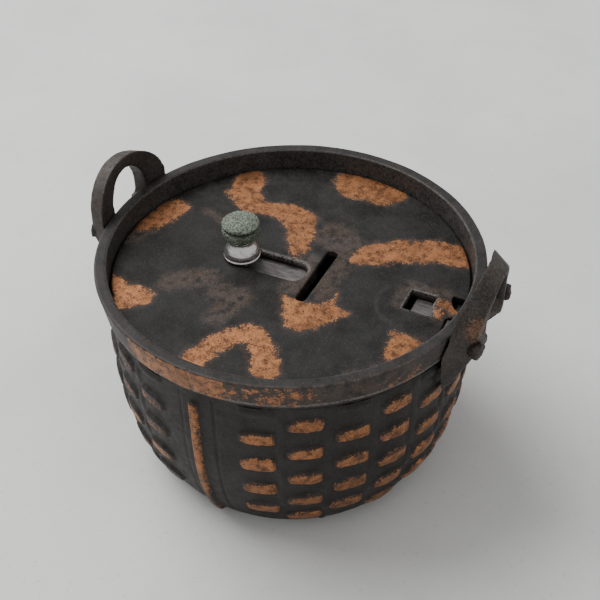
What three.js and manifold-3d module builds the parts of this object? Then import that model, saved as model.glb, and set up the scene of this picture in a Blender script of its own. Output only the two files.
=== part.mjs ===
// A round cast-iron money box shaped like a woven basket, with two upright loop handles.
// The sunken lid carries a sliding bolt worked by a knob, a coin slot and a windowed catch.
// Millimetres, +Z up. The origin is under the middle of the foot, +X runs through the handles.

import * as THREE from "three";
import { mergeVertices } from "three/addons/utils/BufferGeometryUtils.js";
import Module from "manifold-3d";

const wasm = await Module();
wasm.setup();

// ---------------------------------------------------------------- driving dimensions

const fit = 0.3; // clearance between pieces that bear on each other
const roundSegments = 72;

const basket = {
  height: 58, // floor to the top of the rim
  rimRadius: 47.5,
  collarFootRadius: 46.4,
  collarHeight: 7.2,
  recessRadius: 44.4, // the well that the lid drops into
  wallRadius: 44.7, // body just under the collar
  baseRadius: 36,
  bellyPower: 3.9, // how late the wall turns in towards the base
  wall: 3.3,
  floor: 3.2,
  footWidth: 6,
  footRecess: 0.8,
  filletHeight: 2, // hollow curve under the collar
  edge: 0.7, // softened rim corners
};
const collarFoot = basket.height - basket.collarHeight;

const lid = {
  radius: 43.8,
  thickness: 2,
  sunk: 5.5, // lid top below the rim
  tilt: { x: -43.8 }, // the lid tips about its left-hand top edge
};
const lidTop = basket.height - lid.sunk;
const lidUnder = lidTop - lid.thickness;
const ledgeTop = lidUnder - fit;
const ledgeRadius = basket.wallRadius - basket.wall;

const weave = {
  mirror: -92.5, // bearing where the two halves of the mould mirror each other
  firstColumn: 17.9, // degrees from there
  columnPitch: 14,
  columns: 11, // in each half
  stripWidth: 8.3,
  stripHeight: 4.2,
  proud: 0.9,
  rowPitch: 9.1,
  evenTopRow: 48.2, // heights of the highest strips in alternate columns
  oddTopRow: 43.7,
  lowestRow: 4,
};
const rib = { bearings: [-93.8, 86.2], width: 2.6, proud: 1.2, top: 46, foot: 0.4 };

const handle = {
  bearings: { right: 0.5, left: 176.1 }, // degrees round from +X
  drafts: { right: 0.055, left: 0.02 }, // shrink per millimetre outwards, as the pattern leaves the sand
  innerRadius: basket.rimRadius + fit,
  outerRadius: 52.2,
  lean: 0.6, // how much further out the loop is at its top
  halfWidth: 13.4,
  rise: 11.4,
  holeHalfWidth: 6.8,
  holeRise: 7.8,
  holeFloor: -4.2, // from the rim top
  legTip: -15.5,
  legClear: 46, // legs stand off the weave
  hollow: { radius: 8, depth: 2.5, top: -3.2 }, // scooped out of the outer face between the rivets
};
const rivet = { bearing: 12, drop: 4.6, headRadius: 2.3, shankRadius: 1.3, tip: 45.6 };
const rivetHeads = { right: 1.1, left: 0.5 }; // the left-hand ones are beaten nearly flat

const coinSlot = { x: 7.1, y: -0.2, length: 20.6, width: 2.7 };
const lockY = -0.9; // middle line of the knob, its slot and the bolt
const knobSlot = { left: -16.2, right: 4.3, halfWidth: 3.8, corner: 3 };
const catchWindow = { left: 30.2, right: 36.8, slant: 1.3, back: 4.1, front: -3.1, bulge: 0.8 };
const pad = { x: 31.8, y: -0.9, radiusX: 8.4, radiusY: 8.5, height: 0.35 };

const plateThickness = 1.9; // bolt and catch plates
const plateTop = lidUnder - fit;
const plateUnder = plateTop - plateThickness;
const tipThickness = 1.8;
const tipUnder = 45.9; // the joggled ends pass below the ledge
const strapThickness = 1.2;
const strapTop = plateUnder - fit;
const strapUnder = strapTop - strapThickness;

const bolt = { left: -43, right: 5.4, joggleLeft: -38, joggleRight: -36, halfWidth: 5.8, tipHalfWidth: 5 };
const latch = {
  left: 31.6,
  right: 38,
  joggleLeft: 36.5,
  tip: 40.8,
  y: 0.2,
  halfWidth: 4.4,
  tipHalfWidth: 3.6,
};
const pocket = { under: 45.3, top: 48.5, reach: 43.4, mouth: 39.5, boltHalfWidth: 5.4, latchHalfWidth: 4 };
const knob = {
  x: -13,
  skirtRadius: 4.65,
  skirtHeight: 4.9,
  headRadius: 4.8,
  stemRadius: 1.5,
  shoulderRadius: 2.15,
};

const keepers = {
  bolt_keeper_left: { x: -18, reach: 10 },
  bolt_keeper_right: { x: 0.5, reach: 10 },
  catch_keeper: { x: 33.5, reach: 8.6 },
};
const keeper = { width: 4, overhang: 2.6, bossRadius: 3, holeRadius: 1.3 };
const screw = { headRadius: 2.1, headHeight: 1.2, shankRadius: 1, slotWidth: 0.6, slotDepth: 0.5 };

// ---------------------------------------------------------------- materials

function metalPaint(color, roughness, metalness) {
  return new THREE.MeshStandardMaterial({ color, roughness, metalness });
}
const finishes = {
  castIron: metalPaint(0x2b2826, 0.62, 0.55),
  handleIron: metalPaint(0x34302c, 0.6, 0.55),
  lidIron: metalPaint(0x3a3634, 0.58, 0.5),
  rivetIron: metalPaint(0x4a3428, 0.6, 0.6),
  plateSteel: metalPaint(0x716a6c, 0.5, 0.7),
  strapSteel: metalPaint(0x5a5654, 0.5, 0.75),
  screwSteel: metalPaint(0x8c8880, 0.4, 0.85),
  nickel: metalPaint(0xc9c7c0, 0.22, 1),
  agedBrass: metalPaint(0x6f8268, 0.8, 0.35),
};

// ---------------------------------------------------------------- solids

function toSolid(geometry) {
  const bare = new THREE.BufferGeometry();
  bare.setAttribute("position", geometry.getAttribute("position").clone());
  if (geometry.index) bare.setIndex(geometry.index.clone());
  const merged = mergeVertices(bare, 1e-5);
  const corners = merged.index.array;
  const triangles = [];
  for (let i = 0; i < corners.length; i += 3) {
    const [a, b, c] = [corners[i], corners[i + 1], corners[i + 2]];
    if (a !== b && b !== c && c !== a) triangles.push(a, b, c);
  }
  return new wasm.Manifold(
    new wasm.Mesh({
      numProp: 3,
      vertProperties: new Float32Array(merged.getAttribute("position").array),
      triVerts: new Uint32Array(triangles),
    }),
  );
}

const slivers = 0.004; // edges shorter than this are closed up after the cuts and joins

function toGeometry(solid) {
  const mesh = solid.simplify(slivers).getMesh();
  const geometry = new THREE.BufferGeometry();
  geometry.setAttribute("position", new THREE.BufferAttribute(new Float32Array(mesh.vertProperties), 3));
  geometry.setIndex(new THREE.BufferAttribute(new Uint32Array(mesh.triVerts), 1));
  geometry.computeVertexNormals();
  return geometry;
}

// A profile of [radius, height] pairs turned about +Z.
function turned(profile, segments = roundSegments) {
  const points = profile.map(([radius, height]) => new THREE.Vector2(radius, height));
  return toSolid(new THREE.LatheGeometry(points, segments).rotateX(Math.PI / 2));
}

// An outline in the XY plane raised from one height to another.
function raised(outline, from, to, curveSegments = 4) {
  const options = { depth: to - from, bevelEnabled: false, curveSegments };
  return toSolid(new THREE.ExtrudeGeometry(outline, options).translate(0, 0, from));
}

function block(from, to) {
  const size = to.map((value, i) => value - from[i]);
  const centre = to.map((value, i) => (value + from[i]) / 2);
  return toSolid(new THREE.BoxGeometry(...size).translate(...centre));
}

function upright(radius, x, y, from, to, segments = 20) {
  const cylinder = new THREE.CylinderGeometry(radius, radius, to - from, segments).rotateX(Math.PI / 2);
  return toSolid(cylinder.translate(x, y, (from + to) / 2));
}

function about(bearing) {
  return new THREE.Matrix4().makeRotationZ(THREE.MathUtils.degToRad(bearing));
}

// Lays +X of a drawing tangentially, its +Y upwards, and its depth outwards at a bearing.
function facingOut(bearing) {
  const upwards = new THREE.Matrix4().makeBasis(
    new THREE.Vector3(0, 1, 0),
    new THREE.Vector3(0, 0, 1),
    new THREE.Vector3(1, 0, 0),
  );
  return about(bearing).multiply(upwards);
}

function placed(geometry, matrix) {
  return toSolid(geometry.applyMatrix4(matrix));
}

function rectangle(left, right, front, back, corner) {
  const outline = new THREE.Shape();
  outline.moveTo(left + corner, front);
  outline.lineTo(right - corner, front);
  outline.absarc(right - corner, front + corner, corner, -Math.PI / 2, 0);
  outline.absarc(right - corner, back - corner, corner, 0, Math.PI / 2);
  outline.absarc(left + corner, back - corner, corner, Math.PI / 2, Math.PI);
  outline.absarc(left + corner, front + corner, corner, Math.PI, 1.5 * Math.PI);
  outline.closePath();
  return outline;
}

const group = new THREE.Group();

function add(name, solid, material) {
  const mesh = new THREE.Mesh(toGeometry(solid), material);
  mesh.name = name;
  group.add(mesh);
}

// ---------------------------------------------------------------- basket

function bodyRadius(height) {
  const fall = (collarFoot - Math.min(height, collarFoot)) / collarFoot;
  const drop = fall ** basket.bellyPower;
  return basket.baseRadius + (basket.wallRadius - basket.baseRadius) * (1 - drop);
}

function heightsBetween(from, to, steps) {
  return Array.from({ length: steps + 1 }, (_, i) => from + ((to - from) * i) / steps);
}

function basketProfile() {
  const { rimRadius, recessRadius, footRecess, footWidth, baseRadius, edge, height, floor, wall } = basket;
  const filletFoot = collarFoot - basket.filletHeight;
  const outerWall = heightsBetween(0, filletFoot, 16).map((z) => [bodyRadius(z), z]);
  const innerWall = heightsBetween(ledgeTop - 1.4, floor + 3, 9).map((z) => [bodyRadius(z) - wall, z]);
  const fillet = [1, 2, 3].map((i) => {
    const turn = (i * Math.PI) / 6;
    const out = (basket.collarFootRadius - basket.wallRadius) * (1 - Math.cos(turn));
    return [basket.wallRadius + out, filletFoot + basket.filletHeight * Math.sin(turn)];
  });
  return [
    [0, footRecess],
    [baseRadius - footWidth - footRecess, footRecess],
    [baseRadius - footWidth, 0],
    ...outerWall,
    ...fillet,
    [rimRadius, height - edge],
    [rimRadius - edge, height],
    [recessRadius + edge, height],
    [recessRadius, height - edge],
    [recessRadius, ledgeTop],
    [ledgeRadius, ledgeTop],
    ...innerWall,
    [bodyRadius(0) - wall - 1.5, floor],
    [0, floor],
  ];
}

// One raised strip of the weave: a slab laid on the sloping wall.
function weaveStrip(bearing, height) {
  const slope = Math.atan2(bodyRadius(height + 1) - bodyRadius(height - 1), 2);
  const sunk = 1.2;
  const slab = new THREE.BoxGeometry(weave.proud + sunk, weave.stripWidth, weave.stripHeight);
  slab.translate((weave.proud - sunk) / 2, 0, 0).rotateY(slope);
  slab.translate(bodyRadius(height), 0, height);
  return placed(slab, about(bearing));
}

function weaveStrips() {
  const strips = [];
  for (const side of [1, -1]) {
    for (let column = 0; column < weave.columns; column += 1) {
      const bearing = weave.mirror + side * (weave.firstColumn + column * weave.columnPitch);
      const top = column % 2 === 0 ? weave.evenTopRow : weave.oddTopRow;
      for (let height = top; height > weave.lowestRow; height -= weave.rowPitch) {
        if (height + weave.stripHeight / 2 < collarFoot) strips.push(weaveStrip(bearing, height));
      }
    }
  }
  return strips;
}

function sideRib(bearing) {
  const depth = 1;
  const heights = heightsBetween(rib.foot, rib.top, 12);
  const outline = new THREE.Shape([
    ...heights.map((z) => new THREE.Vector2(bodyRadius(z) + rib.proud, z)),
    ...heights.reverse().map((z) => new THREE.Vector2(bodyRadius(z) - depth, z)),
  ]);
  const slab = new THREE.ExtrudeGeometry(outline, { depth: rib.width, bevelEnabled: false });
  slab.translate(0, 0, -rib.width / 2).rotateX(Math.PI / 2);
  return placed(slab, about(bearing));
}

// Iron left standing beside the lid's tongue, so that the lid can't turn in its well.
function turnStop() {
  const stop = block([41.3, -9.8, ledgeTop - 0.5], [45, -2.6, lidTop]);
  const inside = upright(basket.recessRadius + 1, 0, 0, ledgeTop - 1, lidTop + 1, roundSegments);
  return stop.intersect(inside);
}

function basketShell() {
  const { under, top, reach, mouth, boltHalfWidth, latchHalfWidth } = pocket;
  let shell = turned(basketProfile());
  for (const strip of weaveStrips()) shell = shell.add(strip);
  for (const bearing of rib.bearings) shell = shell.add(sideRib(bearing));
  shell = shell.add(turnStop());
  shell = shell.subtract(
    block([-reach, lockY - boltHalfWidth, under], [-mouth, lockY + boltHalfWidth, top]),
  );
  shell = shell.subtract(
    block([mouth, latch.y - latchHalfWidth, under], [reach, latch.y + latchHalfWidth, top]),
  );
  for (const { bearing } of rivetPlaces()) shell = shell.subtract(rivetHole(bearing));
  return shell;
}

// ---------------------------------------------------------------- handles and their rivets

function rivetPlaces() {
  const places = [];
  for (const [side, middle] of Object.entries(handle.bearings)) {
    const frontward = side === "right" ? -1 : 1;
    for (const [end, turn] of [["front", frontward], ["back", -frontward]]) {
      places.push({ name: `handle_rivet_${side}_${end}`, bearing: middle + turn * rivet.bearing, side });
    }
  }
  return places;
}

// A turned shape whose axis points out of the basket through a rivet's place.
function radial(profile, bearing, segments) {
  const points = profile.map(([radius, along]) => new THREE.Vector2(radius, along));
  const shape = new THREE.LatheGeometry(points, segments).rotateZ(-Math.PI / 2);
  return placed(shape.translate(0, 0, basket.height - rivet.drop), about(bearing));
}

function rivetHole(bearing) {
  const radius = rivet.shankRadius + fit;
  const deep = rivet.tip - fit;
  const beyond = handle.outerRadius + 3;
  return radial([[0, deep], [radius, deep], [radius, beyond], [0, beyond]], bearing, 20);
}

function handleRivet({ bearing, side }) {
  const { headRadius, shankRadius, tip } = rivet;
  const headHeight = rivetHeads[side];
  const seat = handle.outerRadius + fit;
  const dome = [1, 2, 3].map((i) => {
    const turn = (i * Math.PI) / 8;
    return [headRadius * Math.cos(turn), seat + 0.2 + (headHeight - 0.2) * Math.sin(turn)];
  });
  const profile = [
    [0, tip],
    [shankRadius, tip],
    [shankRadius, seat],
    [headRadius, seat],
    [headRadius, seat + 0.2],
    ...dome,
    [0, seat + headHeight],
  ];
  return radial(profile, bearing, 24);
}

// The loop and its two legs, drawn with the rim top at zero.
function handleOutline() {
  const { halfWidth, rise, legTip } = handle;
  const outline = new THREE.Shape();
  outline.moveTo(halfWidth, 0);
  outline.absellipse(0, 0, halfWidth, rise, 0, Math.PI);
  outline.lineTo(-halfWidth, -3.6);
  outline.quadraticCurveTo(-halfWidth + 0.4, -11, -10.9, legTip);
  outline.quadraticCurveTo(-10.1, legTip - 0.7, -9.4, legTip);
  outline.quadraticCurveTo(-7.6, -11, -6.6, -8);
  outline.quadraticCurveTo(0, -6.4, 6.6, -8);
  outline.quadraticCurveTo(7.6, -11, 9.4, legTip);
  outline.quadraticCurveTo(10.1, legTip - 0.7, 10.9, legTip);
  outline.quadraticCurveTo(halfWidth - 0.4, -11, halfWidth, -3.6);
  outline.closePath();
  return outline;
}

function handleHole() {
  const { holeHalfWidth, holeRise, holeFloor } = handle;
  const corner = 1.2;
  const outline = new THREE.Shape();
  outline.moveTo(holeHalfWidth, 0);
  outline.absellipse(0, 0, holeHalfWidth, holeRise, 0, Math.PI);
  outline.lineTo(-holeHalfWidth, holeFloor + corner);
  outline.quadraticCurveTo(-holeHalfWidth, holeFloor, -holeHalfWidth + corner, holeFloor);
  outline.lineTo(holeHalfWidth - corner, holeFloor);
  outline.quadraticCurveTo(holeHalfWidth, holeFloor, holeHalfWidth, holeFloor + corner);
  outline.closePath();
  return outline;
}

// The space the handle may fill: hugs the collar inside, tapers towards the leg tips outside.
function handleRing() {
  const { innerRadius, outerRadius, lean } = handle;
  const top = basket.height + handle.rise + 1;
  const foot = basket.height + handle.legTip - 2;
  return turned([
    [handle.legClear, foot],
    [47, foot],
    [51.4, 50.4],
    [outerRadius, 51.8],
    [outerRadius, basket.height],
    [outerRadius + lean, top],
    [innerRadius + lean, top],
    [innerRadius, basket.height - basket.edge],
    [basket.collarFootRadius + fit, collarFoot],
    [handle.legClear + 0.2, collarFoot - 0.4],
    [handle.legClear, collarFoot - 1.2],
    [handle.legClear, foot],
  ]);
}

function handleHollow(bearing) {
  const { radius, depth, top } = handle.hollow;
  const reach = handle.outerRadius - depth + radius;
  const turn = THREE.MathUtils.degToRad(bearing);
  const [x, y] = [reach * Math.cos(turn), reach * Math.sin(turn)];
  return upright(radius, x, y, collarFoot - 12, basket.height + top, 48);
}

function handleLoop(side) {
  const bearing = handle.bearings[side];
  const start = handle.legClear - 2;
  const depth = handle.outerRadius + handle.lean + 2 - start;
  const options = { depth, bevelEnabled: false, curveSegments: 16 };
  const loop = new THREE.ExtrudeGeometry(handleOutline(), options).translate(0, 0, start);
  const position = loop.getAttribute("position");
  for (let i = 0; i < position.count; i += 1) {
    const shrink = 1 - handle.drafts[side] * (position.getZ(i) - handle.innerRadius);
    position.setXYZ(i, position.getX(i) * shrink, position.getY(i) * shrink, position.getZ(i));
  }
  const hole = new THREE.ExtrudeGeometry(handleHole(), options).translate(0, 0, start);
  const raise = new THREE.Matrix4().makeTranslation(0, 0, basket.height);
  const frame = raise.multiply(facingOut(bearing));
  let solid = placed(loop, frame).subtract(placed(hole, frame)).intersect(handleRing());
  solid = solid.subtract(handleHollow(bearing));
  for (const turn of [-1, 1]) solid = solid.subtract(rivetHole(bearing + turn * rivet.bearing));
  return solid;
}

// ---------------------------------------------------------------- lid

function lidOutline() {
  const { radius } = lid;
  const angleAt = (y) => Math.asin(y / radius);
  const outline = new THREE.Shape();
  outline.absarc(0, 0, radius, angleAt(6.2), 2 * Math.PI + angleAt(-10.3));
  outline.lineTo(40.9, -10.3);
  outline.quadraticCurveTo(41.4, -6, 40.8, -3);
  outline.quadraticCurveTo(41, -1.4, 43.2, -0.9);
  outline.lineTo(43.4, 1.1);
  outline.quadraticCurveTo(41.6, 1.7, 40.9, 2.8);
  outline.quadraticCurveTo(39.7, 4.6, 40, 6.2);
  outline.closePath();
  return outline;
}

function windowOutline() {
  const { left, right, slant, front, back, bulge } = catchWindow;
  const outline = new THREE.Shape();
  outline.moveTo(left, front);
  outline.lineTo(right + slant, front);
  outline.quadraticCurveTo(right + slant / 2 - 2 * bulge, (front + back) / 2, right, back);
  outline.lineTo(left, back);
  outline.closePath();
  return outline;
}

function padOutline() {
  const outline = new THREE.Shape();
  outline.absellipse(pad.x, pad.y, pad.radiusX, pad.radiusY, 0, 2 * Math.PI);
  return outline;
}

function lidPlate() {
  const above = lidTop + pad.height + 1;
  const { x, y, length, width } = coinSlot;
  const [halfX, halfY] = [width / 2, length / 2];
  const { left, right, halfWidth, corner } = knobSlot;
  const opening = rectangle(left, right, lockY - halfWidth, lockY + halfWidth, corner);
  let plate = raised(lidOutline(), lidUnder, lidTop, 36);
  plate = plate.add(raised(padOutline(), lidTop - 0.5, lidTop + pad.height, 20));
  for (const place of keeperHoles()) {
    plate = plate.add(upright(keeper.bossRadius, place.x, place.y, plateUnder, lidUnder + 0.5));
  }
  plate = plate.subtract(
    raised(rectangle(x - halfX, x + halfX, y - halfY, y + halfY, 0.4), lidUnder - 1, above),
  );
  plate = plate.subtract(raised(opening, lidUnder - 1, above, 6));
  plate = plate.subtract(raised(windowOutline(), lidUnder - 1, above));
  for (const place of keeperHoles()) {
    plate = plate.subtract(upright(keeper.holeRadius, place.x, place.y, plateUnder - 1, lidUnder - 0.2));
  }
  return plate;
}

// ---------------------------------------------------------------- keepers under the lid

function keeperHoles() {
  const holes = [];
  for (const [name, { x, reach }] of Object.entries(keepers)) {
    for (const [side, y] of [["front", -reach], ["back", reach]]) {
      holes.push({ name: `${name}_screw_${side}`, x, y });
    }
  }
  return holes;
}

function keeperStrap({ x, reach }) {
  const half = keeper.width / 2;
  const end = reach + keeper.overhang;
  let strap = raised(rectangle(x - half, x + half, -end, end, 1.4), strapUnder, strapTop);
  for (const y of [-reach, reach]) {
    strap = strap.subtract(upright(keeper.holeRadius, x, y, strapUnder - 1, strapTop + 1));
  }
  return strap;
}

function keeperScrew({ x, y }) {
  const seat = strapUnder - fit;
  const head = seat - screw.headHeight;
  const body = turned(
    [
      [0, head],
      [screw.headRadius * 0.7, head],
      [screw.headRadius, head + 0.5],
      [screw.headRadius, seat],
      [screw.shankRadius, seat],
      [screw.shankRadius, lidUnder - 0.8],
      [0, lidUnder - 0.8],
    ],
    20,
  );
  const half = screw.slotWidth / 2;
  const reach = screw.headRadius + 1;
  const slot = block([-reach, -half, head - 1], [reach, half, head + screw.slotDepth]);
  return body.subtract(slot).translate(x, y, 0);
}

// ---------------------------------------------------------------- bolt and catch

function lockBolt() {
  const { left, right, joggleLeft, joggleRight, halfWidth, tipHalfWidth } = bolt;
  const plate = raised(rectangle(joggleLeft, right, -halfWidth, halfWidth, 1.2), plateUnder, plateTop);
  const riser = block([joggleLeft, -tipHalfWidth, tipUnder], [joggleRight, tipHalfWidth, plateTop]);
  const tipOutline = rectangle(left, joggleRight, -tipHalfWidth, tipHalfWidth, 0.8);
  const tip = raised(tipOutline, tipUnder, tipUnder + tipThickness);
  const stemHole = upright(knob.stemRadius + fit, knob.x, 0, plateUnder - 1, plateTop + 1);
  return plate.add(riser).add(tip).subtract(stemHole).translate(0, lockY, 0);
}

function catchPlate() {
  const { left, right, joggleLeft, tip, y, halfWidth, tipHalfWidth } = latch;
  const plate = raised(rectangle(left, right, y - halfWidth, y + halfWidth, 0.6), plateUnder, plateTop);
  const riser = block([joggleLeft, y - tipHalfWidth, tipUnder], [right, y + tipHalfWidth, plateTop]);
  const nose = rectangle(joggleLeft, tip, y - tipHalfWidth, y + tipHalfWidth, 0.6);
  return plate.add(riser).add(raised(nose, tipUnder, tipUnder + tipThickness));
}

// ---------------------------------------------------------------- knob

const skirtFoot = lidTop + fit;
const skirtTop = skirtFoot + knob.skirtHeight;
const headFoot = skirtTop + fit;
const headEdge = skirtFoot + 10.3; // top edge of the head, where its dome starts

function knobStem() {
  const { stemRadius, shoulderRadius } = knob;
  const shoulder = skirtTop - 0.4;
  const profile = [
    [0, plateUnder + 0.1],
    [stemRadius, plateUnder + 0.1],
    [stemRadius, plateTop + fit],
    [shoulderRadius, plateTop + fit],
    [shoulderRadius, shoulder],
    [stemRadius, shoulder],
    [stemRadius, headEdge - 1],
    [0, headEdge - 1],
  ];
  return turned(profile, 32).translate(knob.x, lockY, 0);
}

function knobSkirt() {
  const bore = knob.shoulderRadius + fit;
  const { skirtRadius, skirtHeight } = knob;
  const bell = [0, 1, 2, 3, 4, 5, 6].map((i) => {
    const turn = (i * Math.PI) / 12;
    const radius = 2.9 + (skirtRadius - 2.9) * Math.cos(turn) ** 0.8;
    return [radius, skirtFoot + 0.5 + (skirtHeight - 0.5) * Math.sin(turn)];
  });
  const foot = [bore, skirtFoot];
  const profile = [foot, [skirtRadius - 0.2, skirtFoot], ...bell, [bore, skirtTop], foot];
  return turned(profile, 40).translate(knob.x, lockY, 0);
}

function knobHead() {
  const bore = knob.stemRadius + fit;
  const radius = knob.headRadius;
  const profile = [
    [bore, headFoot],
    [2.8, headFoot],
    [2.9, headFoot + 0.9],
    [radius - 0.7, headFoot + 1.3],
    [radius - 0.05, headFoot + 1.9],
    [radius, headEdge - 1.3],
    [radius - 0.5, headEdge - 0.9],
    [radius - 0.1, headEdge - 0.5],
    [radius, headEdge - 0.1],
    [radius - 0.9, headEdge + 0.5],
    [radius - 2.4, headEdge + 0.85],
    [0, headEdge + 1],
    [0, headEdge - 0.7],
    [bore, headEdge - 0.7],
    [bore, headFoot],
  ];
  return turned(profile, 40).translate(knob.x, lockY, 0);
}

// ---------------------------------------------------------------- assembly

add("basket_shell", basketShell(), finishes.castIron);
for (const side of Object.keys(handle.bearings)) {
  add(`handle_${side}`, handleLoop(side), finishes.handleIron);
}
for (const place of rivetPlaces()) add(place.name, handleRivet(place), finishes.rivetIron);

add("lid_plate", lidPlate(), finishes.lidIron);
for (const [name, place] of Object.entries(keepers)) add(name, keeperStrap(place), finishes.strapSteel);
for (const place of keeperHoles()) add(place.name, keeperScrew(place), finishes.screwSteel);

add("lock_bolt", lockBolt(), finishes.plateSteel);
add("knob_stem", knobStem(), finishes.strapSteel);
add("knob_skirt", knobSkirt(), finishes.nickel);
add("knob_head", knobHead(), finishes.agedBrass);
add("catch_plate", catchPlate(), finishes.plateSteel);

export default group;
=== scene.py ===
"""Looks of a cast-iron basket money box, japanned black over copper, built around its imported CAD."""

import math

import bpy
import numpy as np
from mathutils import Matrix, Vector, noise
from mathutils.geometry import delaunay_2d_cdt


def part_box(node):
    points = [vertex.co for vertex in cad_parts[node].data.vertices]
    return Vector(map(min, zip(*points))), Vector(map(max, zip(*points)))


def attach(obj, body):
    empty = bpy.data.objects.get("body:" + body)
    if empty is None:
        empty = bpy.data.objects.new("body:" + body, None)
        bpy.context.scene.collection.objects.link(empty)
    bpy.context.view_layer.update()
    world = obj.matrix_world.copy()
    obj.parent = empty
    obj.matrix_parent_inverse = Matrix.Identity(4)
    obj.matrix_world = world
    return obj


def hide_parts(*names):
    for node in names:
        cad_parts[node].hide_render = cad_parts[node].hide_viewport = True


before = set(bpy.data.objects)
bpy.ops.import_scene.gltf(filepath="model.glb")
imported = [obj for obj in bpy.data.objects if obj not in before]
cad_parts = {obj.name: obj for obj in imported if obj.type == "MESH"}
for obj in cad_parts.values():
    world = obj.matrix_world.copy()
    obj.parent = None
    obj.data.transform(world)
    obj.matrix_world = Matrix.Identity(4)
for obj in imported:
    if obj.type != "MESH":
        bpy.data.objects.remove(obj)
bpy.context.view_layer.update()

MM = 0.001  # shapes below are in millimetres, Blender in metres


def box_mm(node):
    low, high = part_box(node)
    return np.array(low) / MM, np.array(high) / MM


# ---------------------------------------------------------------- driving sizes, millimetres

BASKET_HIGH = box_mm("basket_shell")[1]
LID_LOW = box_mm("lid_plate")[0]
SKIRT_LOW, SKIRT_HIGH = box_mm("knob_skirt")
HEAD_LOW, HEAD_HIGH = box_mm("knob_head")

RIM_TOP = BASKET_HIGH[2]
RIM_RADIUS = BASKET_HIGH[0]
COLLAR_FOOT = RIM_TOP - 7.2  # where the plain collar starts, above the weave
COLLAR_FOOT_RADIUS = RIM_RADIUS - 1.1
RECESS_RADIUS = 44.4
WALL_RADIUS = 44.7
BASE_RADIUS = 36.0
BELLY_POWER = 3.9
WALL = 3.3
FLOOR = 3.2
FOOT_WIDTH = 6.0
FOOT_RECESS = 0.8

LID_RADIUS = -LID_LOW[0]
LID_TOP = RIM_TOP - 5.5
LID_UNDER = LID_TOP - 2.0
LEDGE_TOP = LID_UNDER - 0.3
LEDGE_RADIUS = WALL_RADIUS - WALL
LOCK_Y = (SKIRT_LOW[1] + SKIRT_HIGH[1]) / 2
KNOB_X = (SKIRT_LOW[0] + SKIRT_HIGH[0]) / 2

AROUND = 960  # columns of the basket's mesh


# ---------------------------------------------------------------- small mathematics


def smooth(low, high, value):
    t = np.clip((value - low) / (high - low), 0, 1)
    return t * t * (3 - 2 * t)


def grain(points, size, octaves=3, seed=0.0):
    """Fractal noise of about -1 to 1 at points in millimetres; size is its coarsest feature."""
    scaled = np.asarray(points, float) / size + seed
    return np.array([noise.fractal(p, 1.0, 2.0, octaves) for p in scaled.tolist()])


def turn_between(bearing, centre):
    """Degrees from centre to bearing, from -180 to 180."""
    return (bearing - centre + 180) % 360 - 180


def rounded_box(across, up, half_across, half_up, corner):
    """How far inside a rounded rectangle a point lies; half_up may be an array."""
    q_across = np.abs(across) - half_across + corner
    q_up = np.abs(up) - half_up + corner
    outside = np.hypot(np.maximum(q_across, 0), np.maximum(q_up, 0))
    return corner - outside - np.minimum(np.maximum(q_across, q_up), 0)


def stroke(x, y, points):
    """How far inside a brush stroke of [x, y, half width] points a place lies."""
    best = np.full(np.shape(x), -1e3)
    for (x0, y0, r0), (x1, y1, r1) in zip(points, points[1:]):
        dx, dy = x1 - x0, y1 - y0
        t = np.clip(((x - x0) * dx + (y - y0) * dy) / (dx * dx + dy * dy), 0, 1)
        reach = r0 + (r1 - r0) * t
        best = np.maximum(best, reach - np.hypot(x - x0 - dx * t, y - y0 - dy * t))
    return best


def inside_loop(x, y, loop):
    """True where a point lies inside a closed polyline."""
    inside = np.zeros(np.shape(x), bool)
    following = np.roll(loop, -1, axis=0)
    for (x0, y0), (x1, y1) in zip(loop, following):
        if y0 != y1:
            crosses = (y0 > y) != (y1 > y)
            inside ^= crosses & (x < x0 + (y - y0) * (x1 - x0) / (y1 - y0))
    return inside


def patch(x, y, corners):
    """How far inside a polygon a place lies, negative outside it."""
    loop = np.array(corners, float)
    edge = -stroke(x, y, [(*p, 0.0) for p in [*corners, corners[0]]])
    return np.where(inside_loop(x, y, loop), edge, -edge)


# ---------------------------------------------------------------- making pieces


def add_piece(name, vertices, faces, **attributes):
    mesh = bpy.data.meshes.new(name)
    mesh.from_pydata((np.asarray(vertices) * MM).tolist(), [], faces)
    for label, values in attributes.items():
        layer = mesh.attributes.new(label, "FLOAT", "POINT")
        layer.data.foreach_set("value", np.asarray(values, np.float32).ravel())
    mesh.polygons.foreach_set("use_smooth", np.ones(len(mesh.polygons), bool))
    mesh.update()
    piece = bpy.data.objects.new(name, mesh)
    bpy.context.scene.collection.objects.link(piece)
    return piece


def path_with(*stretches):
    """Joins stretches of [radius, height] points into one profile."""
    return np.array([p for stretch in stretches for p in stretch], float)


def line(start, end, step):
    """Evenly spaced points from start up to, but not at, end."""
    count = max(1, round(math.dist(start, end) / step))
    start, end = np.array(start), np.array(end)
    return [tuple(start + (end - start) * i / count) for i in range(count)]


def through(points, step):
    """Evenly spaced points along a polyline, leaving out its last point."""
    return path_with(*[line(a, b, step) for a, b in zip(points, points[1:])])


def corner_arc(centre, radius, start, end, steps):
    """Points of an arc about a [radius, height] centre; angles in degrees from outwards to up."""
    turns = [math.radians(start + (end - start) * i / steps) for i in range(steps + 1)]
    return [(centre[0] + radius * math.cos(t), centre[1] + radius * math.sin(t)) for t in turns]


def profile_normals(path):
    ahead = np.gradient(path, axis=0)
    ahead /= np.maximum(np.hypot(*ahead.T), 1e-9)[:, None]
    return np.stack([ahead[:, 1], -ahead[:, 0]], 1)


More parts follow.
